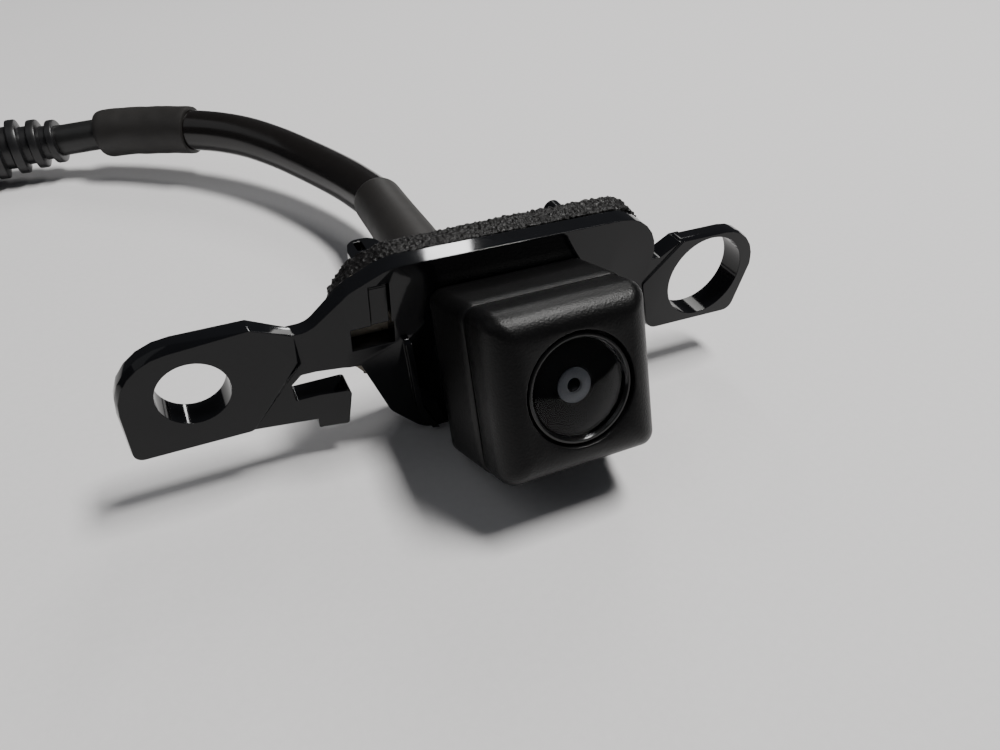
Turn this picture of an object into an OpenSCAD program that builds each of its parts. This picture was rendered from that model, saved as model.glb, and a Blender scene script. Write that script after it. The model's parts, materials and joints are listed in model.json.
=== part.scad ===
/*
Backup camera on a two-eared mounting bracket, with its lead and plug.
Millimetres. X runs across the bracket, Y from the lens to the vehicle, Z up.
The bracket stands on its lower edge at Z 0; the head tips up by head_pitch.
*/

/* [Camera head] */
// width of the head at its front face
head_w = 22; // [21.4:0.1:22.4]
// height of the head at its front face
head_h = 22.2; // [21.4:0.1:22.4]
// depth of the front cover
cover_l = 7.6; // [7:0.1:8]
// radius of the front cover's long edges
cover_edge_r = 3.7; // [2.5:0.1:4]
// width and height of the middle housing where it meets the cover
middle_front_w = 22.8; // [22.6:0.1:23.2]
// width and height of the middle housing at its rear step
middle_rear_w = 23.8; // [23.4:0.1:24.2]
// distance from the front face to the middle housing's rear step
middle_end = 18.1; // [18:0.1:18.2]
// wall thickness of the head's shells
shell_t = 1.6; // [1.4:0.1:1.8]
// upward tilt of the lens from the bracket's normal, in degrees
head_pitch = 20.8; // [19:0.2:22]

/* [Lens] */
// radius of the recess around the lens
recess_r = 7.45; // [7.35:0.05:7.6]
// outer radius of the ring that retains the front lens
ring_r = 7.1; // [7:0.05:7.2]
// radius of the front lens
dome_r = 6.25; // [6:0.05:6.3]
// height of the front lens above its rim
dome_h = 1.4; // [1:0.1:1.6]
// radius of the pale ring around the pupil
iris_r = 2.15; // [1.8:0.05:2.4]
// radius of the pupil
pupil_r = 0.95; // [0.7:0.05:1.2]

/* [Bracket] */
// thickness of the centre plate
plate_t = 3.2; // [3:0.1:3.4]
// thickness of the two ears
ear_t = 4.1; // [3.9:0.1:4.3]
// radius of the hole in the left ear
left_bore_r = 4.55; // [4.2:0.05:4.8]
// radius of the hole in the right ear
right_bore_r = 6.75; // [6.3:0.05:7]
// outer width of the collar that holds the head
collar_w = 20.6; // [20.4:0.1:20.7]
// thickness of the foam gasket
foam_t = 4; // [3.8:0.1:4.2]

/* [Lead] */
// outside radius of the lead's tube
tube_r = 4.3; // [4:0.1:4.5]
// outside radius of the inner cable
cable_r = 3.3; // [3:0.1:3.5]
// outside radius of the sleeve at the end of the tube
sleeve_r = 5.1; // [4.9:0.1:5.4]
// number of ribs on the strain relief
rib_count = 6; // [5:1:7]

/* [Plug] */
// outside radius of the plug's shell
plug_r = 7; // [6.8:0.1:7.2]
// outside radius of the coupling nut
nut_r = 7.6; // [7.4:0.1:7.6]
// number of contact pins
pin_count = 4; // [3:1:5]

/* [Output] */
// name of the node to draw, or all of them

/* [Hidden] */

// where the lens centre sits in the part's frame
lens_x = 4.2;
lens_y = -15.64;
lens_z = 19.2;
// smoothness of round features and of moulded corners
round_n = 64;
corner_n = 6;
eps = 0.05;

// cross-section corner radius of the head, and the groove at its seam
head_corner_r = 2;
seam_gap = 0.2;
seam_inset = 0.45;
cover_grow = 0.5;
cover_steps = 8;
cavity_w = 18.8;
cavity_front = 1.8;

// depths along the lens axis, from the front face
barrel_front = 2;
barrel_step = 6;
barrel_end = 10.4;
barrel_r = 7;
barrel_small_r = 5.6;
barrel_wall = 0.75;
sensor_face = 11.2;
board_y = 12;
board_t = 1;
main_y = 15.4;
board_w = 18.6;
screw_at = 6.9;
screw_post_r = 1.7;
post_at = 8.35;
post_r = 0.95;

// rear housing, inside the bracket's collar
rear_w = 18;
rear_end = 26.8;
rear_wall = 1.5;
rear_floor = 3;
rear_seal_w = 17.2;
neck_x = -2.5;
neck_z = -8;
neck_r = 3.7;
neck_bore_r = 2.5;
neck_start = 21.5;
neck_end = 34.14;
grommet_start = 27;
core_r = 1.5;

// bracket, in the lens's place with the plate upright
plate_y = 21.2;
plate_rear = plate_y + plate_t;
base_z = -19.2;
left_ear_y = 21.2;
right_ear_y = 20.9;
ear_lip = 0.8;
ear_band = 1.8;
arm_t = 3.1;
finger_t = 4;
arm_dip = 0.7;
left_bore = [-42.8, -2.8];
right_bore = [34.2, -3.8];
plate_outline = [[-13, base_z, 5], [-18, -14, 4], [-21.6, -4.8, 0], [-24.5, -4.5, 0],
    [-24.5, 4.72, 0], [-22.4, 6.6, 4], [-16.6, 9.1, 8],
    [23.6, 8.95, 6.2], [23.9, 1.6, 6], [17.5, -13.8, 4], [13, base_z, 5]];
left_arm = [[-23.6, 5.53, 0], [-27.6, 1.95, 3.2], [-29.7, 1.95, 0], [-33, 1.6, 0],
    [-36, -8, 0], [-30.7, -8.8, 0], [-30.9, -5.8, 0], [-29.5, -4.5, 0.5], [-23.6, -4.55, 0]];
left_finger = [[-40, -11.1, 0], [-28.2, -12.6, 0], [-28.2, -14.2, 0.3], [-24.1, -14.3, 0.5],
    [-23.2, -8.5, 0.6], [-30.5, -8.5, 0.6], [-34, -6, 0]];
left_ear_front = [[-51.4, 3.2, 7.4], [-34.7, 4.5, 0.3], [-29.7, -1.7, 0.3], [-36.8, -11.1, 1],
    [-51.6, -11.1, 1.2]];
left_ear = [[-51.8, 4.55, 8], [-34.9, 4.55, 0.4], [-29.6, 1.9, 0], [-29.2, -2.8, 0.3],
    [-37.3, -11.3, 1], [-51.8, -11.3, 1.3]];
left_ear_rear = [[-51.2, 3.4, 7.6], [-35.4, 3.4, 0.8], [-31, 0.6, 0], [-31, -2.8, 0.3],
    [-38, -10.8, 1], [-51.2, -10.8, 1.5]];
right_arm = [[20, 1.4, 0], [25.2, 1.4, 1], [28.4, 3.3, 0], [30, 3.3, 0], [31, -11, 0],
    [26, -9.4, 2], [20, -5, 0]];
right_ear_front = [[28.9, 3.4, 0.6], [42.9, 3.35, 6.4], [42.95, -3.5, 0], [40.9, -11.6, 1.7],
    [24.8, -11.3, 2], [22.6, -2.6, 0.6]];
right_ear = [[28.7, 3.55, 0.6], [43.1, 3.5, 6.5], [43.15, -3.4, 0], [41, -11.75, 1.8],
    [24.6, -11.4, 2], [22.2, -2.4, 0.6]];
right_ear_rear = [[29.4, 2.2, 0.6], [42.2, 2.2, 6], [42.4, -3.8, 0], [40.4, -11.3, 1.7],
    [25.2, -11, 2], [23.4, -3, 0.6]];
socket_w = 18.4;
bead_outline = [[-14.7, -2.3, 0], [-13.5, -13.9, 2], [-11.2, -18.6, 0],
    [-12.2, -18.4, 0], [-14.4, -14.2, 3], [-15.6, -2.3, 0]];
bead_h = 1.2;
window_x = -22.5;
window_w = 5.9;
window_z = -2.2;
window_h = 3.3;
tongue_x = -19.5;
tongue_w = 2.4;
tongue_root_z = 6.2;
tongue_tip_z = 0.8;
tongue_t = 1.5;
slit_w = 0.2;
lug_x = -19.5;
lug_w = 4.9;
lug_z = 5.2;
lug_t = 1.6;
lug_end = 34.14;
lug_slot = [-18.1, 30.9, 1.2, 2.4];
locator_x = 11.5;
locator_z = 7.4;
locator_r = 1.45;
locator_end = 30.9;
bracket_screw_x = 4.4;
bracket_screw_z = -14.6;

// foam gasket and its adhesive liner
liner_t = 0.2;
foam_y = plate_rear + liner_t;
foam_outline = [[-12.5, -18.8, 4], [-24.3, -4, 3], [-24.3, 4.3, 1], [-21.3, 7.1, 3],
    [-16.2, 9.1, 5], [23.4, 9.1, 5], [23.2, -3, 5], [12.5, -18.8, 4]];
liner_outline = [[-12.5, -18.6, 4], [-24.2, -4, 3], [-24.2, 4.2, 1], [-21.3, 7, 3],
    [-16.4, 8.75, 5], [23, 8.6, 5], [23, -3, 5], [12.5, -18.6, 4]];
foam_rear = [[-12.2, -18.5, 4], [-23.6, -4, 3], [-23.3, 3.6, 2], [-20.4, 7.2, 3],
    [-15.5, 9, 4], [23.3, 9.3, 4.5], [23, -3, 5], [12.2, -18.5, 4]];
foam_hole_w = 22;
foam_hole_bottom = -16.2;
foam_hole_top = 1.2;

// lead route, from the head's neck to the plug
route = [[1.7, 18.5, 11.2], [1.7, 30, 11.2], [1.7, 43, 11.2], [1.7, 56, 11.2],
    [0, 66.2, 10.9], [-2.9, 75.2, 10.8], [-7.4, 84.9, 11.1], [-11, 91, 11.5],
    [-15.2, 96.8, 11.8], [-19.7, 101.6, 11.8], [-24.5, 105.8, 11.5], [-30.1, 109.8, 11],
    [-35.8, 113.3, 10.4], [-40.6, 115.6, 9.9], [-45.2, 117.5, 9.3], [-49.8, 119, 8.6],
    [-54.5, 120.2, 8], [-60, 120.9, 7.7], [-66, 121, 7.6], [-72, 121, 7.6], [-76, 121, 7.6]];
tube_end = 12;
sleeve_start = 10.2;
sleeve_end = 13.8;
relief_start = 15.75;
relief_end = 20;
relief_r0 = 4.1;
relief_r1 = 7.5;
relief_core = 0.78;
lead_sides = 12;
shell_sides = 24;
boot_start = 30.5;
boot_end = 74;
boot_r0 = 5.1;
boot_r1 = 4.75;
squeeze = 0.06;

// plug, along its own axis from the strain relief
plug_at = [-76, 121, 7.6];
plug_shoulder = 9;
plug_end = 20;
nose_r = 5.9;
nose_bore_r = 5;
snap_r = 6.35;
nut_start = 9.3;
nut_end = 18;
nut_gap = 0.06;
insert_start = 7;
insert_end = 16.5;
pin_r = 0.5;
pin_ring_r = 2.4;

charcoal = [0.05, 0.05, 0.055];
gloss_black = [0.03, 0.03, 0.035];
grey_foam = [0.14, 0.14, 0.14];
steel = [0.7, 0.7, 0.72];
gold = [0.85, 0.65, 0.25];
green = [0.05, 0.3, 0.15];
glass_tint = [0.3, 0.35, 0.4, 0.5];
pale = [0.8, 0.8, 0.78];

function unit(v) = v / norm(v);

function turn(a) = a > 180 ? a - 360 : a < -180 ? a + 360 : a;

// arc that rounds the corner b between a and c
function corner(a, b, c, r) = let(
    u = unit(a - b),
    w = unit(c - b),
    half = acos(u * w) / 2,
    mid = b + unit(u + w) * r / sin(half),
    from = b + u * r / tan(half) - mid,
    to = b + w * r / tan(half) - mid,
    a0 = atan2(from[1], from[0]),
    da = turn(atan2(to[1], to[0]) - a0))
    [for (i = [0:corner_n]) mid + r * [cos(a0 + da * i / corner_n), sin(a0 + da * i / corner_n)]];

// outline with each corner rounded by its third value
function rounded(p) = [for (i = [0:len(p) - 1]) let(
    n = len(p),
    a = p[(i + n - 1) % n],
    b = p[i],
    c = p[(i + 1) % n])
    each b[2] == 0 ? [[b[0], b[1]]] :
        corner([a[0], a[1]], [b[0], b[1]], [c[0], c[1]], b[2])];

// point on the smooth curve through the route
function along(u) = let(
    last = len(route) - 1,
    i = min(floor(u), last - 1),
    t = u - i,
    p0 = route[max(i - 1, 0)],
    p1 = route[i],
    p2 = route[i + 1],
    p3 = route[min(i + 2, last)])
    0.5 * (2 * p1 + (p2 - p0) * t + (2 * p0 - 5 * p1 + 4 * p2 - p3) * t * t
        + (3 * p1 - p0 - 3 * p2 + p3) * t * t * t);

function heading(u) = let(last = len(route) - 1)
    unit(along(min(u + 0.02, last)) - along(max(u - 0.02, 0)));

function ring(u, r, sides) = let(
    c = along(u),
    t = heading(u),
    side = unit(cross(t, [0, 0, 1])),
    up = cross(side, t))
    [for (k = [0:sides - 1]) c + r * (cos(360 * k / sides) * side + sin(360 * k / sides) * up)];

// solid swept along the route through stations of [place, radius]
module swept(stations, sides) {
    n = len(stations);
    points = [for (s = stations) each ring(s[0], s[1], sides)];
    walls = [for (i = [0:n - 2], k = [0:sides - 1]) let(
        a = i * sides + k,
        b = i * sides + (k + 1) % sides)
        each [[a, b, b + sides], [a, b + sides, a + sides]]];
    near = [[for (k = [sides - 1:-1:0]) k]];
    far = [[for (k = [0:sides - 1]) (n - 1) * sides + k]];
    polyhedron(points, concat(near, far, walls));
}

function even(u0, u1, r, n) = [for (i = [0:n]) [u0 + (u1 - u0) * i / n, r]];

module in_plate() translate([lens_x, lens_y, lens_z]) children();

module in_head() in_plate() rotate([-head_pitch, 0, 0]) children();

// flat shape drawn in X and Z, standing from depth y0 for thickness t
module sheet(y0, t) translate([0, y0 + t, 0]) rotate([90, 0, 0]) linear_extrude(t) children();

// turned shape drawn as radius against depth
module turned() rotate([-90, 0, 0]) rotate_extrude($fn = round_n) children();

module rod(x, z, y0, y1, r) translate([x, y0, z]) rotate([-90, 0, 0])
    cylinder(h = y1 - y0, r = r, $fn = round_n);

module rounded_rect(w, h, r) {
    square([w - 2 * r, h], center = true);
    square([w, h - 2 * r], center = true);
    for (x = [-1, 1], y = [-1, 1]) translate([x * (w / 2 - r), y * (h / 2 - r)])
        circle(r, $fn = 32);
}

module slab(w, h, r, y0, t) sheet(y0, t) rounded_rect(w, h, r);

module four(d) for (x = [-1, 1], z = [-1, 1]) translate([x * d, 0, z * d]) children();

module front_cover() color(charcoal) in_head() {
    difference() {
        union() {
            hull() {
                for (i = [0:cover_steps]) {
                    inset = cover_edge_r * (1 - sin(90 * i / cover_steps));
                    slab(head_w - 2 * inset, head_h - 2 * inset,
                        max(head_corner_r - inset / 2, 0.6),
                        cover_edge_r * (1 - cos(90 * i / cover_steps)), eps);
                }
                slab(head_w + cover_grow, head_h + cover_grow - 0.2, head_corner_r,
                    cover_l - seam_gap - eps, eps);
            }
            slab(head_w - 2 * seam_inset, head_h - 2 * seam_inset, head_corner_r,
                cover_l - seam_gap - eps, seam_gap + eps);
        }
        difference() {
            slab(cavity_w, cavity_w, 1.5, cavity_front + 0.8, cover_l);
            rod(0, 0, 0, barrel_step - 0.1, barrel_r + 1);
        }
        rod(0, 0, -1, barrel_front, recess_r);
        rod(0, 0, 0, cover_l, barrel_r);
    }
    for (x = [-1, 1]) difference() {
        rod(x * post_at, 0, cavity_front + 0.4, board_y, post_r);
        rod(x * post_at, 0, board_y - 2.6, board_y + 1, 0.5);
    }
}

module middle_housing() color(charcoal) in_head() difference() {
    union() {
        difference() {
            hull() {
                slab(middle_front_w, middle_front_w, head_corner_r, cover_l, eps);
                slab(middle_rear_w, middle_rear_w, head_corner_r, middle_end - eps, eps);
            }
            slab(middle_front_w - 2 * shell_t, middle_front_w - 2 * shell_t, 1,
                cover_l - 1, middle_end - shell_t - cover_l + 1);
        }
        four(screw_at) rod(0, 0, board_y + board_t + 0.2, middle_end - shell_t + 0.1, screw_post_r);
    }
    slab(9, 9, 1, cover_l, middle_end);
    four(screw_at) rod(0, 0, board_y, middle_end + 1, 0.8);
    difference() {
        slab(21.2, 21.2, 1, cover_l - 1, 1.5);
        slab(19.7, 19.7, 1, cover_l - 2, 4);
    }
    difference() {
        slab(rear_seal_w, rear_seal_w, 1, middle_end - 0.5, 1);
        slab(rear_seal_w - 1.2, rear_seal_w - 1.2, 0.6, middle_end - 2, 4);
    }
}

module rear_housing() color(charcoal) in_head() difference() {
    union() {
        slab(rear_w, rear_w, 1.8, middle_end, rear_end - middle_end);
        rotate([head_pitch, 0, 0]) rod(neck_x, neck_z, neck_start, neck_end, neck_r);
    }
    difference() {
        slab(rear_w - 2 * rear_wall, rear_w - 2 * rear_wall, 1, middle_end - 1,
            rear_end - rear_floor - middle_end + 1);
        four(screw_at) rod(0, 0, middle_end - 2, rear_end, 1.9);
    }
    four(screw_at) rod(0, 0, middle_end - 1, rear_end + 1, 0.8);
    four(screw_at) rod(0, 0, rear_end - 2, rear_end + 1, 1.55);
    rotate([head_pitch, 0, 0]) {
        rod(neck_x, neck_z, neck_start - 8, neck_end + 1, neck_bore_r);
        for (x = [-1, 1]) rod(x * bracket_screw_x, bracket_screw_z, 20.4, plate_rear, 0.6);
    }
}

module front_seal() color(gloss_black) in_head() difference() {
    slab(21.2, 21.2, 1, cover_l, 0.5);
    slab(19.7, 19.7, 1, cover_l - 1, 2);
}

module rear_seal() color(gloss_black) in_head() difference() {
    slab(rear_seal_w, rear_seal_w, 1, middle_end - 0.5, 0.5);
    slab(rear_seal_w - 1.2, rear_seal_w - 1.2, 0.6, middle_end - 1, 2);
}

module lens_ring() color(gloss_black) in_head() turned()
    polygon([[dome_r + 0.05, barrel_front], [dome_r + 0.05, 0.8], [dome_r + 0.35, 0.35],
        [ring_r - 0.15, 0.35], [ring_r, 0.5], [ring_r, barrel_front]]);

module front_lens() color(glass_tint) in_head() turned() {
    rim = 0.7;
    ball = (dome_r * dome_r + dome_h * dome_h) / (2 * dome_h);
    span = asin(dome_r / ball);
    steps = 12;
    hollow = 3.6;
    polygon(concat(
        [for (i = [0:steps]) [ball * sin(span * i / steps),
            rim - dome_h + ball * (1 - cos(span * i / steps))]],
        [[dome_r, barrel_front], [hollow, barrel_front]],
        [for (i = [1:steps]) [hollow * cos(90 * i / steps),
            barrel_front - 0.45 * hollow * sin(90 * i / steps)]]));
}

module lens_barrel() color(gloss_black) in_head() turned() polygon([
    [4.1, barrel_front], [barrel_r - 0.35, barrel_front], [barrel_r - 0.35, 3.6],
    [barrel_r - 0.95, 3.6], [barrel_r - 0.95, 4.6], [barrel_r, 4.6], [barrel_r, barrel_step],
    [barrel_small_r, barrel_step], [barrel_small_r, barrel_end], [4.4, barrel_end],
    [4.4, 9.6], [3.4, 9.6], [3.4, 7.4], [2.8, 7.4], [2.8, 5.2], [4.1, 3.9]]);

module lens_o_ring() color(gloss_black) in_head() turned()
    translate([barrel_r - 0.48, 4.1]) circle(0.46, $fn = 24);

module iris_ring() color(pale) in_head() difference() {
    rod(0, 0, 5.2, 5.6, 2.8);
    rod(0, 0, 5, 6, pupil_r);
}

module second_lens() color(glass_tint) in_head() turned() {
    steps = 8;
    polygon(concat([[0, 5.2], [2.8, 5.2], [3.7, 4.3]],
        [for (i = [steps:-1:0]) [3.7 * i / steps, 3.5 + 0.8 * pow(i / steps, 2)]]));
}

module rear_lens() color(glass_tint) in_head() turned()
    polygon([[0, 6.4], [1.8, 6.7], [2.8, 7.4], [3.4, 7.4], [3.4, 9.2], [1.8, 9.6], [0, 9.7]]);

module ir_filter() color(glass_tint) in_head() rod(0, 0, 9.8, 10.3, 4.4);

module image_sensor() color(gloss_black) in_head() slab(7.2, 6.2, 0.3, sensor_face, board_y - sensor_face);

module sensor_board() color(green) in_head() difference() {
    slab(board_w, board_w, 1, board_y, board_t);
    for (x = [-1, 1]) rod(x * post_at, 0, board_y - 1, board_y + 2, 0.5);
}

module board_connector() color(pale) in_head()
    translate([0, 0, -5.2]) slab(9, 2.2, 0.2, board_y + board_t, main_y - board_y - board_t);

module board_spacer() color(gloss_black) in_head() difference() {
    slab(board_w, board_w, 1, board_y + board_t, main_y - board_y - board_t);
    slab(board_w - 2, board_w - 2, 0.6, board_y, 5);
    for (x = [-1, 1]) rod(x * post_at, 0, board_y, board_y + board_t + 0.7, 1.1);
    four(screw_at) rod(0, 0, board_y, main_y + 1, screw_post_r + 0.1);
}

module shield_can() color(steel) in_head() translate([0, 0, 1]) difference() {
    slab(9, 7, 0.3, main_y - 1.5, 1.5);
    slab(8.6, 6.6, 0.2, main_y - 1.3, 2);
}

module main_board() color(green) in_head() difference() {
    slab(board_w, board_w, 1, main_y, board_t);
    four(screw_at) rod(0, 0, main_y - 1, main_y + 2, screw_post_r + 0.1);
}

module cable_header() color(pale) in_head() slab(7, 4, 0.3, main_y + board_t, 4.2);

module housing_screws() color(steel) in_head() four(screw_at) difference() {
    union() {
        rod(0, 0, board_y + board_t + 0.6, rear_end - 1.9, 0.8);
        rod(0, 0, rear_end - 2, rear_end - 0.8, 1.5);
    }
    translate([0, rear_end - 1.4, 0]) sheet(0, 2) square([1.8, 0.4], center = true);
}

module board_screws() color(steel) in_head() for (x = [-1, 1]) {
    rod(x * post_at, 0, board_y - 2.4, board_y + board_t, 0.5);
    rod(x * post_at, 0, board_y + board_t, board_y + board_t + 0.6, 0.95);
}

// ear with its edges sloped to the front face and to the rear
module ear(y0, front, middle, rear) hull() {
    sheet(y0, eps) polygon(rounded(front));
    sheet(y0 + ear_lip, ear_band) polygon(rounded(middle));
    sheet(y0 + ear_t - eps, eps) polygon(rounded(rear));
}

// clearance that sets the left arm back from the plate's front
module arm_relief() translate([0, 0, base_z]) linear_extrude(-2 * base_z)
    polygon([[-45, plate_y - 3], [-45, plate_y + arm_dip], [-27.5, plate_y + arm_dip],
        [-23.2, plate_y], [-23.2, plate_y - 3]]);

// snap lug that passes back through the foam
module lug() translate([0, 0, lug_z]) linear_extrude(lug_t) difference() {
    polygon(rounded([[lug_x, plate_rear - 0.1, 0], [lug_x, 31, 0], [lug_x + 0.8, lug_end, 2],
        [lug_x + lug_w, lug_end, 2], [lug_x + lug_w, plate_rear - 0.1, 0]]));
    translate([lug_slot[0], lug_slot[1]]) square([lug_slot[2], lug_slot[3]]);
}

module bracket_solid() {
    difference() {
        union() {
            sheet(plate_y, plate_t) polygon(rounded(plate_outline));
            sheet(plate_y, arm_t) polygon(rounded(left_arm));
            sheet(plate_y, finger_t) polygon(rounded(left_finger));
        }
        arm_relief();
    }
    ear(left_ear_y, left_ear_front, left_ear, left_ear_rear);
    sheet(plate_y, plate_t - 0.2) polygon(rounded(right_arm));
    ear(right_ear_y, right_ear_front, right_ear, right_ear_rear);
    intersection() {
        rotate([-head_pitch, 0, 0]) slab(collar_w, collar_w, 2, middle_end, 14);
        translate([-15, 0, base_z]) cube([30, plate_y + 0.1, 40]);
    }
    for (s = [0, 1]) mirror([s, 0, 0])
        sheet(plate_y - bead_h, bead_h + 0.1) polygon(rounded(bead_outline));
    rod(locator_x, locator_z, plate_rear - 0.1, locator_end, locator_r);
    lug();
}

module bracket() color(gloss_black) in_plate() difference() {
    bracket_solid();
    rotate([-head_pitch, 0, 0]) slab(socket_w, socket_w, 1.6, 10, rear_end + 0.05 - 10);
    rod(neck_x, neck_z, plate_y - 2, plate_rear + 1, boot_r0 + 0.3);
    for (x = [-1, 1]) rod(x * bracket_screw_x, bracket_screw_z, 19, plate_rear + 1, 0.75);
    rod(left_bore[0], left_bore[1], plate_y - 1, plate_y + 6, left_bore_r);
    rod(right_bore[0], right_bore[1], plate_y - 1, plate_y + 6, right_bore_r);
    translate([window_x, plate_y - 1, window_z]) cube([window_w, plate_t + 2, window_h]);
    translate([tongue_x - slit_w, plate_y - 1, 0])
        cube([tongue_w + 2 * slit_w, plate_t + 2, tongue_root_z + tongue_t / 2]);
}

module snap_tongue() color(gloss_black) in_plate() {
    mid = plate_y + 1.4;
    translate([tongue_x, mid, tongue_root_z]) rotate([0, 90, 0])
        cylinder(h = tongue_w, r = tongue_t / 2 - eps, $fn = round_n);
    translate([tongue_x, mid - tongue_t / 2, tongue_tip_z])
        cube([tongue_w, tongue_t, tongue_root_z - tongue_tip_z]);
    translate([tongue_x, mid + tongue_t / 2 - 0.1, tongue_tip_z])
        rotate([90, 0, 90]) linear_extrude(tongue_w) polygon([[0, 0], [0.9, 0.2], [0, 1.8]]);
}

module bracket_screws() color(steel) in_plate() for (x = [-1, 1]) {
    rod(x * bracket_screw_x, bracket_screw_z, 21, plate_rear, 0.6);
    rod(x * bracket_screw_x, bracket_screw_z, plate_rear, plate_rear + 0.9, 1.3);
}

// openings through the foam and its liner
module foam_holes() {
    translate([-foam_hole_w / 2, foam_hole_bottom])
        square([foam_hole_w, foam_hole_top - foam_hole_bottom]);
    translate([lug_x - 0.2, lug_z - 0.2]) square([lug_w + 0.4, lug_t + 0.4]);
    translate([locator_x, locator_z]) circle(locator_r + 0.15, $fn = round_n);
}

module adhesive_liner() color(pale) in_plate() sheet(plate_rear, liner_t) difference() {
    polygon(rounded(liner_outline));
    foam_holes();
    translate([tongue_x - 0.6, 0.4]) square([tongue_w + 1.2, tongue_root_z + 0.6]);
}

module foam_gasket() color(grey_foam) in_plate() difference() {
    hull() {
        sheet(foam_y, eps) polygon(rounded(foam_outline));
        sheet(foam_y + foam_t - eps, eps) polygon(rounded(foam_rear));
    }
    sheet(foam_y - 1, foam_t + 2) foam_holes();
}

module cable_grommet() color(gloss_black) in_plate() difference() {
    rod(neck_x, neck_z, grommet_start, neck_end, neck_bore_r);
    rod(neck_x, neck_z, grommet_start - 1, neck_end + 1, core_r);
}

module boot() color(charcoal) in_plate() translate([neck_x, 0, neck_z]) turned() polygon([
    [neck_r, boot_start], [boot_r0 - 0.4, boot_start], [boot_r0, boot_start + 0.6],
    [boot_r0, neck_end + 4], [boot_r1, boot_end - 4], [boot_r1 - 0.1, boot_end],
    [tube_r, boot_end], [tube_r, neck_end], [neck_r, neck_end]]);

module lead_tube() color(gloss_black) swept(concat(even(0, 3, tube_r, 6),
    even(3.5, tube_end, tube_r, 17)), lead_sides);

module end_sleeve() color(charcoal) difference() {
    swept(concat([[sleeve_start, sleeve_r - 0.25]],
        even(sleeve_start + 0.08, sleeve_end - 0.08, sleeve_r, 6),
        [[sleeve_end, sleeve_r - 0.25]]), shell_sides);
    swept(even(sleeve_start - 0.5, tube_end, tube_r - squeeze, 5), lead_sides);
    swept(even(tube_end - 0.02, sleeve_end + 0.5, cable_r - squeeze, 5), lead_sides);
}

module inner_cable() color(gloss_black) swept(even(tube_end, relief_end, cable_r, 16), lead_sides);

// radius of the strain relief at fraction f of its length
function relief_at(f) = relief_r0 + (relief_r1 - relief_r0) * f;

module strain_relief() color(gloss_black) difference() {
    step = (relief_end - relief_start) / rib_count;
    swept([for (i = [0:rib_count - 1]) let(
        u = relief_start + i * step,
        r = relief_at((i + 1) / rib_count))
        each [[u, r], [u + 0.5 * step, r], [u + 0.56 * step, r * relief_core],
            [u + (i == rib_count - 1 ? 1 : 0.94) * step, r * relief_core]]], shell_sides);
    swept(even(relief_start - 0.5, relief_end, cable_r - squeeze, 9), lead_sides);
}

// turned shape along the plug's axis, radius against distance
module plug_turned() translate(plug_at) rotate([0, -90, 0]) rotate_extrude($fn = round_n) children();

module plug_rods(s0, s1, r) translate(plug_at) rotate([0, -90, 0]) for (k = [0:pin_count - 1])
    rotate([0, 0, 45 + 360 * k / pin_count]) translate([pin_ring_r, 0, s0])
        cylinder(h = s1 - s0, r = r, $fn = 24);

module plug_body() color(gloss_black) plug_turned() polygon([
    [0, 0], [plug_r - 0.5, 0], [plug_r, 0.5], [plug_r, plug_shoulder - 0.4],
    [plug_r - 0.4, plug_shoulder], [nose_r, plug_shoulder], [nose_r, nut_end + 0.2],
    [snap_r, nut_end + 0.5], [nose_r, plug_end], [nose_bore_r, plug_end],
    [nose_bore_r, insert_start], [3, insert_start], [3, 3], [0, 3]]);

module plug_insert() color(pale) difference() {
    plug_turned() polygon([[0, insert_start], [nose_bore_r, insert_start],
        [nose_bore_r, insert_end], [0, insert_end]]);
    plug_rods(insert_start - 1, insert_end + 1, pin_r);
}

module plug_pins() color(gold) plug_rods(5, 19.2, pin_r);

module plug_seal() color(gloss_black) plug_turned()
    translate([nose_bore_r - 0.55, insert_end + 0.55]) circle(0.55, $fn = 24);

module coupling_nut() color(gloss_black) difference() {
    plug_turned() polygon([[nose_r + nut_gap, nut_start], [nut_r - 0.4, nut_start],
        [nut_r, nut_start + 0.4], [nut_r, nut_end - 0.4], [nut_r - 0.4, nut_end],
        [nose_r + nut_gap, nut_end]]);
    translate(plug_at) rotate([0, -90, 0]) for (k = [0:17]) rotate([0, 0, 10 + 20 * k])
        translate([nut_r + 0.35, 0, nut_start + 1.6])
            cylinder(h = nut_end - nut_start - 3.2, r = 0.7, $fn = 24);
}

front_cover();
middle_housing();
rear_housing();
front_seal();
rear_seal();
lens_ring();
front_lens();
lens_barrel();
lens_o_ring();
iris_ring();
second_lens();
rear_lens();
ir_filter();
image_sensor();
sensor_board();
board_connector();
board_spacer();
shield_can();
main_board();
cable_header();
housing_screws();
board_screws();
bracket();
snap_tongue();
bracket_screws();
adhesive_liner();
foam_gasket();
cable_grommet();
boot();
lead_tube();
end_sleeve();
inner_cable();
strain_relief();
plug_body();
plug_insert();
plug_pins();
plug_seal();
coupling_nut();
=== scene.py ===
"""Looks of the backup camera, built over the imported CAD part. Lengths in millimetres until placed."""
import json
import math

import bmesh
import bpy
from mathutils import Matrix, Vector, noise


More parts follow.
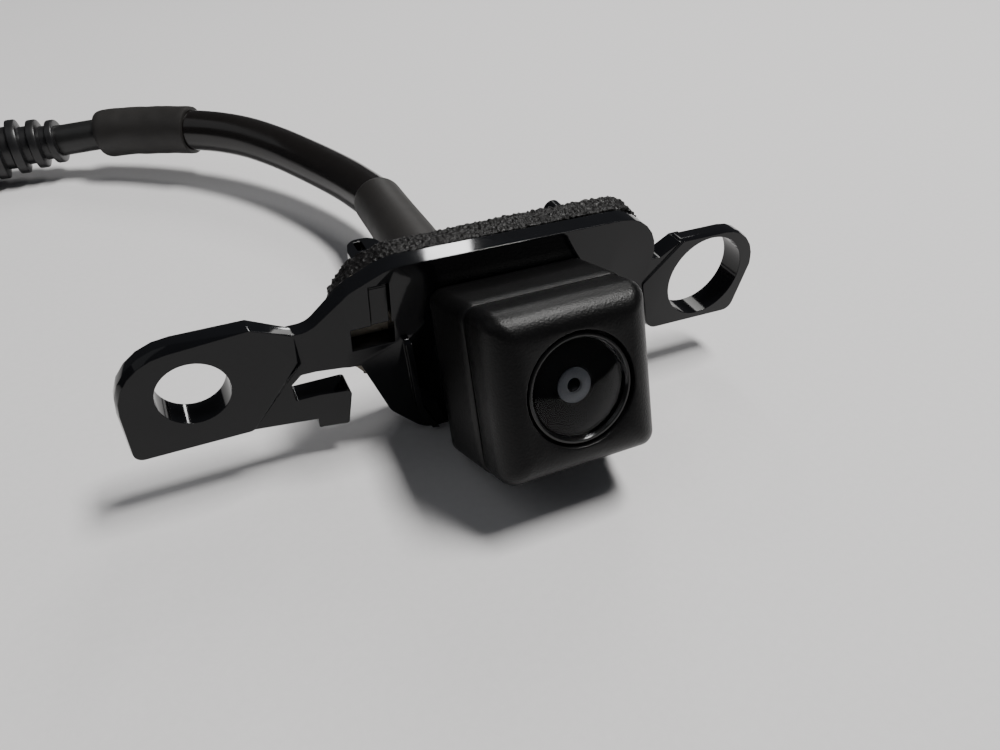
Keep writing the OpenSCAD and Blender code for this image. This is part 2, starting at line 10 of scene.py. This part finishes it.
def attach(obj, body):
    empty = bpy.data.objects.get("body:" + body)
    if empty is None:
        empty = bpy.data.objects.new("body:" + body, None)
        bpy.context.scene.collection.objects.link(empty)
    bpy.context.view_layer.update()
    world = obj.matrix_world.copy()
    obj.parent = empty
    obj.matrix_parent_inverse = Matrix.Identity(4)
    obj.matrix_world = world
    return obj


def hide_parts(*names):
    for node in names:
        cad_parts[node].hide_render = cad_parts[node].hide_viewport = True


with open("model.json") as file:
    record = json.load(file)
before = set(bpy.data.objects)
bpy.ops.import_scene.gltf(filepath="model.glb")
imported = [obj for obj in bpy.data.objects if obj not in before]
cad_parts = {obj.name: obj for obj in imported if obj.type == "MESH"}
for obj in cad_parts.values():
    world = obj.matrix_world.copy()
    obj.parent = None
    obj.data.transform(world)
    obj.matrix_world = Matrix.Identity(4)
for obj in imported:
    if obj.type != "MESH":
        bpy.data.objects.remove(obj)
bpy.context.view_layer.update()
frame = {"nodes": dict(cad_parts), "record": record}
MM = 0.001
scene = bpy.context.scene

# ---------------------------------------------------------------- camera
CAMERA_AT = Vector((-36.8, -77.04, 79.3))
RIGHT = Vector((0.90707, -0.42039, 0.02273))
UP = Vector((0.24565, 0.57235, 0.78236))
AHEAD = Vector((0.34190, 0.70406, -0.62241))
camera_data = bpy.data.cameras.new("camera")
camera_data.sensor_width = 36
camera_data.lens = 28.23
camera_data.clip_start = 5 * MM
camera = bpy.data.objects.new("camera", camera_data)
scene.collection.objects.link(camera)
turn = Matrix((RIGHT, UP, -AHEAD)).transposed().to_4x4()
camera.matrix_world = Matrix.Translation(CAMERA_AT * MM) @ turn
scene.camera = camera

# ---------------------------------------------------------------- places
LENS = Vector((4.2, -15.64, 19.2))                     # middle of the head's front face
TILT = Matrix.Rotation(math.radians(-20.8), 3, "X")    # the head looks down
PLUG = Vector((-76, 121, 7.6))                         # where the cable enters the plug


def plate(x, y, z):
    """A point of the bracket: X across, Y back from the lens, Z up."""
    return LENS + Vector((x, y, z))


def head(x, y, z):
    """A point of the head: Y back along the lens axis."""
    return LENS + TILT @ Vector((x, y, z))


def plug(x, y, z):
    """A point of the plug: Y out along its axis."""
    return PLUG + Vector((-y, x, z))


# ---------------------------------------------------------------- materials
MATERIALS = {}


def add(tree, kind, **values):
    """A shader node with its inputs set."""
    node = tree.nodes.new(kind)
    for key, value in values.items():
        node.inputs[key.replace("_", " ")].default_value = value
    return node


def surface(name, dark, light, rough, grain, depth, strength=0.4, patch=90, metal=0.0, ior=1.5,
            see=0.0, edge=0.0):
    """Principled surface: fine grain between two colours and in the bump, slower patches in roughness.

    grain and patch are noise scales per metre, depth and edge (a rolled edge) are in millimetres,
    and see is how much light passes through.
    """
    mat = bpy.data.materials.new(name)
    mat.use_nodes = True
    tree = mat.node_tree
    shader = tree.nodes["Principled BSDF"]
    shader.inputs["Metallic"].default_value = metal
    shader.inputs["IOR"].default_value = ior
    shader.inputs["Transmission Weight"].default_value = see
    place = tree.nodes.new("ShaderNodeTexCoord").outputs["Object"]
    fine = add(tree, "ShaderNodeTexNoise", Scale=grain, Detail=3.0, Roughness=0.6)
    slow = add(tree, "ShaderNodeTexNoise", Scale=patch, Detail=4.0, Roughness=0.6)
    tree.links.new(place, fine.inputs["Vector"])
    tree.links.new(place, slow.inputs["Vector"])
    mix = tree.nodes.new("ShaderNodeMix")
    mix.data_type = "RGBA"
    mix.inputs[6].default_value = (*dark, 1)
    mix.inputs[7].default_value = (*light, 1)
    tree.links.new(fine.outputs["Fac"], mix.inputs[0])
    tree.links.new(mix.outputs[2], shader.inputs["Base Color"])
    patches = add(tree, "ShaderNodeMapRange", From_Min=0.3, From_Max=0.7,
                  To_Min=rough[0], To_Max=rough[1])
    tree.links.new(slow.outputs["Fac"], patches.inputs["Value"])
    tree.links.new(patches.outputs["Result"], shader.inputs["Roughness"])
    bump = add(tree, "ShaderNodeBump", Strength=strength, Distance=depth * MM)
    tree.links.new(fine.outputs["Fac"], bump.inputs["Height"])
    tree.links.new(bump.outputs["Normal"], shader.inputs["Normal"])
    if edge:
        rolled = tree.nodes.new("ShaderNodeBevel")
        rolled.samples = 6
        rolled.inputs["Radius"].default_value = edge * MM
        tree.links.new(rolled.outputs["Normal"], bump.inputs["Normal"])
    MATERIALS[name] = mat
    return mat, tree, shader, place, bump


surface("head_shell", (0.0015, 0.0015, 0.0018), (0.007, 0.0069, 0.007), (0.3, 0.38), 3600, 0.06, 0.9,
        ior=1.28)
surface("bracket_gloss", (0.004, 0.0042, 0.005), (0.006, 0.0063, 0.0075), (0.05, 0.09), 400, 0.004,
        0.1, ior=1.36, edge=0.18)
surface("ring_black", (0.003, 0.003, 0.003), (0.006, 0.006, 0.006), (0.12, 0.2), 900, 0.004, 0.2)
surface("barrel_black", (0.001, 0.001, 0.001), (0.002, 0.002, 0.002), (0.5, 0.7), 1500, 0.02,
        ior=1.12)
surface("iris_pale", (0.06, 0.06, 0.063), (0.11, 0.11, 0.115), (0.3, 0.45), 2500, 0.01)
surface("seal_rubber", (0.01, 0.01, 0.01), (0.02, 0.02, 0.02), (0.45, 0.65), 2600, 0.02)
surface("shrink_grey", (0.01, 0.009, 0.008), (0.018, 0.016, 0.015), (0.46, 0.62), 2600, 0.03, 0.35)
surface("tube_gloss", (0.006, 0.005, 0.0045), (0.01, 0.0085, 0.008), (0.14, 0.24), 700, 0.02, 0.18)
surface("cable_black", (0.008, 0.008, 0.008), (0.014, 0.014, 0.014), (0.34, 0.48), 1800, 0.03)
surface("relief_black", (0.008, 0.008, 0.0085), (0.014, 0.014, 0.015), (0.28, 0.42), 2200, 0.03)
surface("plug_black", (0.009, 0.009, 0.01), (0.016, 0.016, 0.017), (0.3, 0.45), 2500, 0.03)
surface("liner_pale", (0.25, 0.22, 0.17), (0.4, 0.36, 0.3), (0.35, 0.6), 1400, 0.02)
surface("connector_white", (0.55, 0.53, 0.48), (0.7, 0.68, 0.63), (0.35, 0.5), 1500, 0.02)
surface("board_green", (0.004, 0.05, 0.02), (0.01, 0.11, 0.045), (0.2, 0.4), 700, 0.03)
surface("sensor_die", (0.01, 0.01, 0.02), (0.03, 0.025, 0.05), (0.08, 0.2), 3000, 0.01)
surface("bright_steel", (0.42, 0.42, 0.44), (0.6, 0.6, 0.62), (0.18, 0.35), 1800, 0.02, metal=1.0)
surface("contact_gold", (0.7, 0.5, 0.2), (0.85, 0.65, 0.32), (0.18, 0.3), 1600, 0.02, metal=1.0)
surface("lens_glass", (0.93, 0.95, 0.97), (0.97, 0.98, 1.0), (0.0, 0.015), 500, 0.001, 0.05, see=1.0,
        ior=1.17)
surface("inner_glass", (0.8, 0.85, 0.9), (0.9, 0.93, 0.97), (0.0, 0.03), 500, 0.001, 0.05, see=1.0)
surface("filter_glass", (0.6, 0.8, 0.8), (0.7, 0.9, 0.88), (0.0, 0.03), 500, 0.001, 0.05, see=1.0)
_, foam_tree, foam_shader, foam_place, foam_bump = surface(
    "foam", (0.002, 0.002, 0.002), (0.014, 0.013, 0.013), (0.28, 0.5), 1700, 0.12, 0.9, patch=900,
    ior=1.27)
cells = add(foam_tree, "ShaderNodeTexVoronoi", Scale=1500.0)
foam_tree.links.new(foam_place, cells.inputs["Vector"])
cell_bump = add(foam_tree, "ShaderNodeBump", Strength=0.9, Distance=0.25 * MM)
foam_tree.links.new(cells.outputs["Distance"], cell_bump.inputs["Height"])
foam_tree.links.new(foam_bump.outputs["Normal"], cell_bump.inputs["Normal"])
foam_tree.links.new(cell_bump.outputs["Normal"], foam_shader.inputs["Normal"])


# ---------------------------------------------------------------- mesh helpers
def finish_piece(name, mesh, slot, body, replaces, sharp=35):
    """An object of the mesh, smooth below the sharp angle, riding on its body."""
    bm = bmesh.new()
    bm.from_mesh(mesh)
    bmesh.ops.remove_doubles(bm, verts=bm.verts, dist=1e-7)
    bmesh.ops.recalc_face_normals(bm, faces=bm.faces)
    bm.to_mesh(mesh)
    bm.free()
    mesh.shade_smooth()
    mesh.set_sharp_from_angle(angle=math.radians(sharp))
    piece = bpy.data.objects.new(name, mesh)
    scene.collection.objects.link(piece)
    mesh.materials.clear()
    mesh.materials.append(MATERIALS[slot])
    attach(piece, body)
    if replaces:
        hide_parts(*replaces)
    return piece


def loft(name, rings, slot, body="camera", replaces=(), loop=False, sharp=35):
    """Skin over rings of equal point counts, in millimetres, with flat ends unless it loops."""
    n = len(rings[0])
    faces = []
    last = len(rings) if loop else len(rings) - 1
    for i in range(last):
        j = (i + 1) % len(rings)
        for k in range(n):
            m = (k + 1) % n
            faces.append((i * n + k, i * n + m, j * n + m, j * n + k))
    if not loop:
        faces.append(tuple(range(n)))
        faces.append(tuple((len(rings) - 1) * n + k for k in reversed(range(n))))
    mesh = bpy.data.meshes.new(name)
    mesh.from_pydata([p * MM for ring in rings for p in ring], [], faces)
    return finish_piece(name, mesh, slot, body, replaces, sharp)


def soften(points, radius, steps=4):
    """Rounds the corners of a closed 2-D outline, except those on the axis."""
    out = []
    n = len(points)
    for i in range(n):
        a, b, c = (Vector(points[(i + d) % n]) for d in (-1, 0, 1))
        u, w = a - b, c - b
        reach = min(radius, 0.45 * u.length, 0.45 * w.length)
        if reach < 1e-4 or b.x == 0:
            out.append(tuple(b))
            continue
        p, q = b + u.normalized() * reach, b + w.normalized() * reach
        for k in range(steps + 1):
            t = k / steps
            out.append(tuple(p * (1 - t) ** 2 + 2 * b * t * (1 - t) + q * t * t))
    return out


def turned(name, profile, place, slot, body="camera", replaces=(), centre=(0, 0), round_by=0.1, n=96):
    """Closed outline of (radius, depth) turned about an axis."""
    outline = soften(profile, round_by)
    rings = []
    for r, y in outline:
        rings.append([place(centre[0] + r * math.cos(2 * math.pi * k / n), y,
                            centre[1] + r * math.sin(2 * math.pi * k / n)) for k in range(n)])
    return loft(name, rings, slot, body, replaces, loop=True)


def rounded_rect(w, h, r, side=10, arc=10):
    """Points of a rounded rectangle, from the middle of its right side, counter-clockwise."""
    pts = []
    corners = ((w / 2 - r, h / 2 - r, 0), (r - w / 2, h / 2 - r, 90),
               (r - w / 2, r - h / 2, 180), (w / 2 - r, r - h / 2, 270))
    for i, (x, z, start) in enumerate(corners):
        for k in range(arc + 1):
            a = math.radians(start + 90 * k / arc)
            pts.append((x + r * math.cos(a), z + r * math.sin(a)))
        nx, nz, _ = corners[(i + 1) % 4]
        a = math.radians(start + 90)
        x1, z1 = x + r * math.cos(a), z + r * math.sin(a)
        x2, z2 = nx + r * math.cos(a), nz + r * math.sin(a)
        for k in range(1, side):
            pts.append((x1 + (x2 - x1) * k / side, z1 + (z2 - z1) * k / side))
    return pts


def from_cad(name, node, slot, width, body="camera"):
    """A copy of a CAD solid with clean faces and edges rolled over a width."""
    mesh = frame["nodes"][node].data.copy()
    bm = bmesh.new()
    bm.from_mesh(mesh)
    bmesh.ops.remove_doubles(bm, verts=bm.verts, dist=2e-6)
    bmesh.ops.dissolve_limit(bm, angle_limit=math.radians(1.0), verts=bm.verts, edges=bm.edges)
    bm.to_mesh(mesh)
    bm.free()
    mesh.name = name
    piece = finish_piece(name, mesh, slot, body, [node])
    bevel = piece.modifiers.new("edges", "BEVEL")
    bevel.width = width * MM
    bevel.segments = 3
    bevel.limit_method = "ANGLE"
    bevel.angle_limit = math.radians(28)
    bevel.harden_normals = True
    bevel.miter_outer = "MITER_ARC"
    return piece


# ---------------------------------------------------------------- lead
ROUTE = [Vector(p) for p in (
    (1.7, 18.5, 11.2), (1.7, 30, 11.2), (1.7, 43, 11.2), (1.7, 56, 11.2), (0, 66.2, 10.9),
    (-2.9, 75.2, 10.8), (-7.4, 84.9, 11.1), (-11, 91, 11.5), (-15.2, 96.8, 11.8),
    (-19.7, 101.6, 11.8), (-24.5, 105.8, 11.5), (-30.1, 109.8, 11), (-35.8, 113.3, 10.4),
    (-40.6, 115.6, 9.9), (-45.2, 117.5, 9.3), (-49.8, 119, 8.6), (-54.5, 120.2, 8),
    (-60, 120.9, 7.7), (-66, 121, 7.6), (-72, 121, 7.6), (-76, 121, 7.6))]
TUBE_R = 4.3
CABLE_R = 3.3
# places along the route, counted in its points
SLEEVE_START = 10.2
TUBE_END = 12
SLEEVE_END = 13.8
RELIEF_START = 15.75
ROUTE_END = 20


def along(u):
    """The point at place u, on a smooth curve through the route."""
    last = len(ROUTE) - 1
    i = min(int(u), last - 1)
    t = u - i
    p0, p1, p2, p3 = ROUTE[max(i - 1, 0)], ROUTE[i], ROUTE[i + 1], ROUTE[min(i + 2, last)]
    return 0.5 * (2 * p1 + (p2 - p0) * t + (2 * p0 - 5 * p1 + 4 * p2 - p3) * t ** 2
                  + (3 * p1 - p0 - 3 * p2 + p3) * t ** 3)


def ring_at(u, r, n):
    """A ring of n points square to the route."""
    last = len(ROUTE) - 1
    ahead = (along(min(u + 0.02, last)) - along(max(u - 0.02, 0))).normalized()
    side = ahead.cross(Vector((0, 0, 1))).normalized()
    up = side.cross(ahead)
    c = along(u)
    return [c + r * (math.cos(2 * math.pi * k / n) * side + math.sin(2 * math.pi * k / n) * up)
            for k in range(n)]


def spread(u0, u1, n):
    """Even steps from u0 to u1."""
    return [u0 + (u1 - u0) * i / n for i in range(n + 1)]


def shell(name, outline, slot, replaces, n=64, crumple=0.0):
    """Hollow sleeve along the route: a closed outline of (place, radius), a little uneven."""
    rings = []
    for u, r in outline:
        ring = ring_at(u, r, n)
        c = along(u)
        if crumple:
            ring = [p + (p - c).normalized() * crumple * noise.noise(p * 0.35) for p in ring]
        rings.append(ring)
    return loft(name, rings, slot, replaces=replaces, loop=True)


lead_tube = loft("lead_tube_skin", [ring_at(u, TUBE_R, 64) for u in spread(0, TUBE_END, 150)],
                 "tube_gloss", replaces=["lead_tube"])
inner_cable = loft("inner_cable_skin",
                   [ring_at(u, CABLE_R, 48) for u in spread(TUBE_END, ROUTE_END, 90)],
                   "cable_black", replaces=["inner_cable"])

NECK_END = 34.14         # the rear housing's neck, back from the lens
BOOT_END = 74.0
boot = turned("boot_skin", [
    (3.7, 30.5), (4.8, 30.5), (5.1, 31.0), (5.1, 38.2), (4.98, 45), (5.02, 55), (4.82, 66),
    (4.78, 73.4), (4.6, BOOT_END), (TUBE_R, BOOT_END), (TUBE_R, NECK_END), (3.7, NECK_END)],
    plate, "shrink_grey", replaces=["boot"], centre=(-2.5, -8), round_by=0.35)
SLEEVE_R = 5.1
sleeve_outline = ([(u, TUBE_R - 0.02) for u in (TUBE_END, 11, SLEEVE_START)]
                  + [(SLEEVE_START, 4.7), (SLEEVE_START + 0.03, 5.0)]
                  + [(u, SLEEVE_R) for u in spread(SLEEVE_START + 0.12, SLEEVE_END - 0.3, 40)]
                  + [(SLEEVE_END - 0.18, 5.02), (SLEEVE_END - 0.07, 4.85), (SLEEVE_END, 4.6),
                     (SLEEVE_END, CABLE_R), (13, CABLE_R), (TUBE_END, CABLE_R)])
end_sleeve = shell("end_sleeve_skin", sleeve_outline, "shrink_grey", ["end_sleeve"], crumple=0.12)

# ribbed strain relief: rounded ribs that grow towards the plug
RIBS = 6
RELIEF_R = 4.1           # before the first rib
LAST_RIB_R = 7.5
VALLEY = 0.78            # share of a rib's radius
rib_outline = []
step = (ROUTE_END - RELIEF_START) / RIBS
for i in range(RIBS):
    u = RELIEF_START + i * step
    r = RELIEF_R + (LAST_RIB_R - RELIEF_R) * (i + 1) / RIBS
    low = r * VALLEY
    rib_outline += [(u, r - 0.35), (u + 0.03 * step, r - 0.1), (u + 0.09 * step, r),
                    (u + 0.25 * step, r), (u + 0.41 * step, r), (u + 0.47 * step, r - 0.1),
                    (u + 0.5 * step, r - 0.35), (u + 0.53 * step, low + 0.15),
                    (u + 0.58 * step, low), (u + 0.75 * step, low),
                    (u + (1.0 if i == RIBS - 1 else 0.93) * step, low)]
inner = [(u, CABLE_R - 0.02) for u in spread(ROUTE_END, RELIEF_START, 24)]
strain_relief = shell("strain_relief_skin", rib_outline + inner, "relief_black", ["strain_relief"])

# ---------------------------------------------------------------- plug, outside the view
plug_body = turned("plug_body_skin", [
    (3.3, 0), (6.5, 0), (7, 0.5), (7, 2.2), (6.7, 2.5), (6.7, 3.1), (7, 3.4), (7, 8.6), (6.6, 9),
    (5.9, 9), (5.9, 18.2), (6.3, 18.5), (5.9, 20), (5, 20), (5, 7), (3, 7), (3, 3), (3.3, 3)],
    plug, "plug_black", replaces=["plug_body"], round_by=0.15)
nut = from_cad("coupling_nut_skin", "coupling_nut", "plug_black", 0.12, body="nut")
plug_insert = from_cad("plug_insert_skin", "plug_insert", "connector_white", 0.1)
plug_pins = from_cad("plug_pins_skin", "plug_pins", "contact_gold", 0.15)

# ---------------------------------------------------------------- head shells
FACE_W = 22.0            # front face before its edges are rounded
FACE_H = 22.2
EDGE = 3.7               # rounding of the front edges
EDGE_STEPS = 14
CORNER = 2.0             # rounding along the head
DRAFT = 0.5              # growth over the draft's depth
DRAFT_DEPTH = 7.4
BORE_R = 7.0             # hole behind the lens ring
RECESS_R = 7.45
SEAM = 7.6               # front cover to middle housing
MIDDLE_W = 22.8          # middle housing at its front end
REAR_W = 23.8
REAR_SEAM = 18.1         # middle housing to rear housing


def cover_ring(w, h, r, y):
    """A rounded rectangle square to the lens axis."""
    return [head(x, y, z) for x, z in rounded_rect(w, h, r)]


def circle_ring(radius, y):
    """A circle whose points face those of the front face's outline."""
    ring = []
    for x, z in rounded_rect(14.6, 14.8, 0.6):
        a = math.atan2(z, x)
        ring.append(head(radius * math.cos(a), y, radius * math.sin(a)))
    return ring


cover = [circle_ring(BORE_R, 6.0), circle_ring(BORE_R, 2.0), circle_ring(RECESS_R, 2.0),
         circle_ring(RECESS_R, 0.16), circle_ring(RECESS_R + 0.05, 0.05),
         circle_ring(RECESS_R + 0.17, 0.0)]
for i in range(1, EDGE_STEPS + 1):
    a = math.radians(90 * i / EDGE_STEPS)
    inset = EDGE * (1 - math.sin(a))
    depth = EDGE * (1 - math.cos(a))
    grow = DRAFT * depth / DRAFT_DEPTH
    cover.append(cover_ring(FACE_W - 2 * inset + grow, FACE_H - 2 * inset + grow,
                            max(CORNER - inset / 2, 0.6), depth))
cover += [cover_ring(22.36, 22.46, CORNER, 5.5), cover_ring(22.48, 22.5, CORNER, 7.25),
          cover_ring(22.3, 22.32, 1.95, 7.4), cover_ring(21.1, 21.3, 1.6, 7.42),
          cover_ring(21.1, 21.3, 1.6, SEAM), cover_ring(18.8, 18.8, 1.5, SEAM),
          cover_ring(18.8, 18.8, 1.5, 6.0)]
loft("front_cover_skin", cover, "head_shell", replaces=["front_cover"], loop=True, sharp=50)

middle = [cover_ring(19.6, 19.6, 1, SEAM), cover_ring(22.5, 22.5, 1.9, SEAM),
          cover_ring(MIDDLE_W, MIDDLE_W, CORNER, 7.78)]
for i in range(1, 6):
    w = MIDDLE_W + (REAR_W - MIDDLE_W) * i / 6
    middle.append(cover_ring(w, w, CORNER, SEAM + (REAR_SEAM - SEAM) * i / 6))
middle += [cover_ring(23.78, 23.78, CORNER, 17.9), cover_ring(23.5, 23.5, 1.9, REAR_SEAM),
           cover_ring(9, 9, 1, REAR_SEAM), cover_ring(9, 9, 1, 16.5),
           cover_ring(19.6, 19.6, 1, 16.5)]
loft("middle_housing_skin", middle, "head_shell", replaces=["middle_housing"], loop=True, sharp=50)
from_cad("rear_housing_skin", "rear_housing", "head_shell", 0.25)

# ---------------------------------------------------------------- lens
turned("lens_ring_skin", [(6.3, 2), (6.3, 0.85), (6.6, 0.35), (6.95, 0.35), (7.1, 0.5), (7.1, 2)],
       head, "ring_black", replaces=["lens_ring"], round_by=0.08, n=128)
DOME_R = 6.25            # edge of the front lens
DOME_RISE = 1.4
BALL = (DOME_R ** 2 + DOME_RISE ** 2) / (2 * DOME_RISE)
SPAN = math.asin(DOME_R / BALL)


def cap_profile(ball, span, top, thick, steps=24):
    """Outline of a thin domed glass, from its middle out and back."""
    turn = [span * i / steps for i in range(steps + 1)]
    return ([(ball * math.sin(a), top + ball - ball * math.cos(a)) for a in turn]
            + [((ball - thick) * math.sin(a), top + ball - (ball - thick) * math.cos(a))
               for a in reversed(turn)])


turned("front_lens_skin", cap_profile(BALL, SPAN, -0.7, 0.35), head, "lens_glass",
       replaces=["front_lens"], round_by=0.02, n=128)
turned("second_lens_skin", cap_profile(4.6, math.asin(2.5 / 4.6), 1.4, 0.2), head, "lens_glass",
       replaces=["second_lens"], round_by=0.02)
turned("lens_barrel_skin", [
    (2.25, 2.3), (6.1, 1.6), (6.25, 2), (6.65, 2), (6.65, 3.6), (6.05, 3.6), (6.05, 4.6), (7, 4.6),
    (7, 6), (5.6, 6), (5.6, 10.4), (4.4, 10.4), (4.4, 9.6), (3.4, 9.6), (3.4, 7.4), (2.8, 7.4),
    (2.8, 5.2), (2.25, 5)], head, "barrel_black", replaces=["lens_barrel"], round_by=0.06)
turned("iris_ring_skin", [(0.95, 2.2), (2.25, 2.2), (2.25, 2.5), (0.95, 2.5)], head, "iris_pale",
       replaces=["iris_ring"], round_by=0.05)

# ---------------------------------------------------------------- bracket
from_cad("bracket_skin", "bracket", "bracket_gloss", 0.35)
from_cad("snap_tongue_skin", "snap_tongue", "bracket_gloss", 0.1, body="tongue")
from_cad("adhesive_liner_skin", "adhesive_liner", "liner_pale", 0.03)

# ---------------------------------------------------------------- foam
VOXEL = 0.28
CELLS_PER_MM = 1.35
CELL_DEPTH = 0.3
SWELL = 0.16             # the cell walls stand this far out
ROOM = 0.15              # given up behind the snap tongue, so that it can flex
foam_mesh = frame["nodes"]["foam_gasket"].data.copy()
foam_mesh.name = "foam_gasket_skin"
foam = finish_piece("foam_gasket_skin", foam_mesh, "foam", "camera", ["foam_gasket"], sharp=180)
remesh = foam.modifiers.new("cells", "REMESH")
remesh.mode = "VOXEL"
remesh.voxel_size = VOXEL * MM
bpy.context.view_layer.update()
fine = bpy.data.meshes.new_from_object(foam.evaluated_get(bpy.context.evaluated_depsgraph_get()))
foam.modifiers.clear()
fine.update()
tongue_box = frame["nodes"]["snap_tongue"].bound_box
low, high = (Vector(pick(corner[i] for corner in tongue_box) for i in range(3)) / MM
             for pick in (min, max))
moved = []
for v in fine.vertices:
    p = v.co / MM
    if all(low[i] - 1 < p[i] < high[i] + 1 for i in range(3)):
        inward = ROOM
    else:
        near = noise.voronoi(p * CELLS_PER_MM)[0]
        wall = min(1.0, (near[1] - near[0]) * 2.2)
        inward = CELL_DEPTH * (1 - wall) - SWELL + 0.1 * noise.noise(p * 0.9)
    moved.append(v.co - v.normal * inward * MM)
for v, p in zip(fine.vertices, moved):
    v.co = p
fine.shade_smooth()
fine.materials.clear()
fine.materials.append(MATERIALS["foam"])
foam.data = fine

# ---------------------------------------------------------------- carried-over CAD pieces
for entry in frame["record"]["subparts"]:
    node = frame["nodes"][entry["node"]]
    if not node.hide_render:
        node.data.materials.clear()
        node.data.materials.append(MATERIALS[entry["material_slot"]])
        node.data.shade_smooth()
        node.data.set_sharp_from_angle(angle=math.radians(30))

# ---------------------------------------------------------------- stage
floor_mesh = bpy.data.meshes.new("floor")
floor_mesh.from_pydata([(-2, -1.5, 0), (2, -1.5, 0), (2, 2.5, 0), (-2, 2.5, 0)], [], [(0, 1, 2, 3)])
floor = bpy.data.objects.new("floor", floor_mesh)
scene.collection.objects.link(floor)
floor_material, *_ = surface("floor_cloth", (0.74, 0.73, 0.735), (0.8, 0.79, 0.795), (0.7, 0.85), 900,
                             0.05, 0.3, patch=8)
floor_mesh.materials.append(floor_material)


def area_light(name, at, to, size, power, tint=(1, 1, 1)):
    """A soft rectangular light; places and sizes in metres, power in watts."""
    data = bpy.data.lights.new(name, "AREA")
    data.shape = "RECTANGLE"
    data.size, data.size_y = size
    data.energy = power
    data.color = tint
    lamp = bpy.data.objects.new(name, data)
    scene.collection.objects.link(lamp)
    lamp.location = at
    lamp.rotation_euler = (Vector(to) - Vector(at)).to_track_quat("-Z", "Y").to_euler()


area_light("key", (0.34, 0.0, 0.88), (0, 0, 0), (0.36, 0.17), 11, (1, 0.99, 0.97))
area_light("back", (0.5, 0.75, 0.75), (0, 0.02, 0), (0.4, 0.3), 2, (1, 0.99, 0.97))
area_light("window", (0.284, 0.74, 0.466), (0, 0, 0), (0.07, 0.05), 0.35)
area_light("fill", (-0.7, 0.1, 0.9), (0, 0.02, 0), (0.9, 0.9), 1, (0.96, 0.98, 1))

world = bpy.data.worlds.new("studio")
world.use_nodes = True
world.node_tree.nodes["Background"].inputs["Color"].default_value = (0.9, 0.93, 1, 1)
world.node_tree.nodes["Background"].inputs["Strength"].default_value = 0.06
scene.world = world
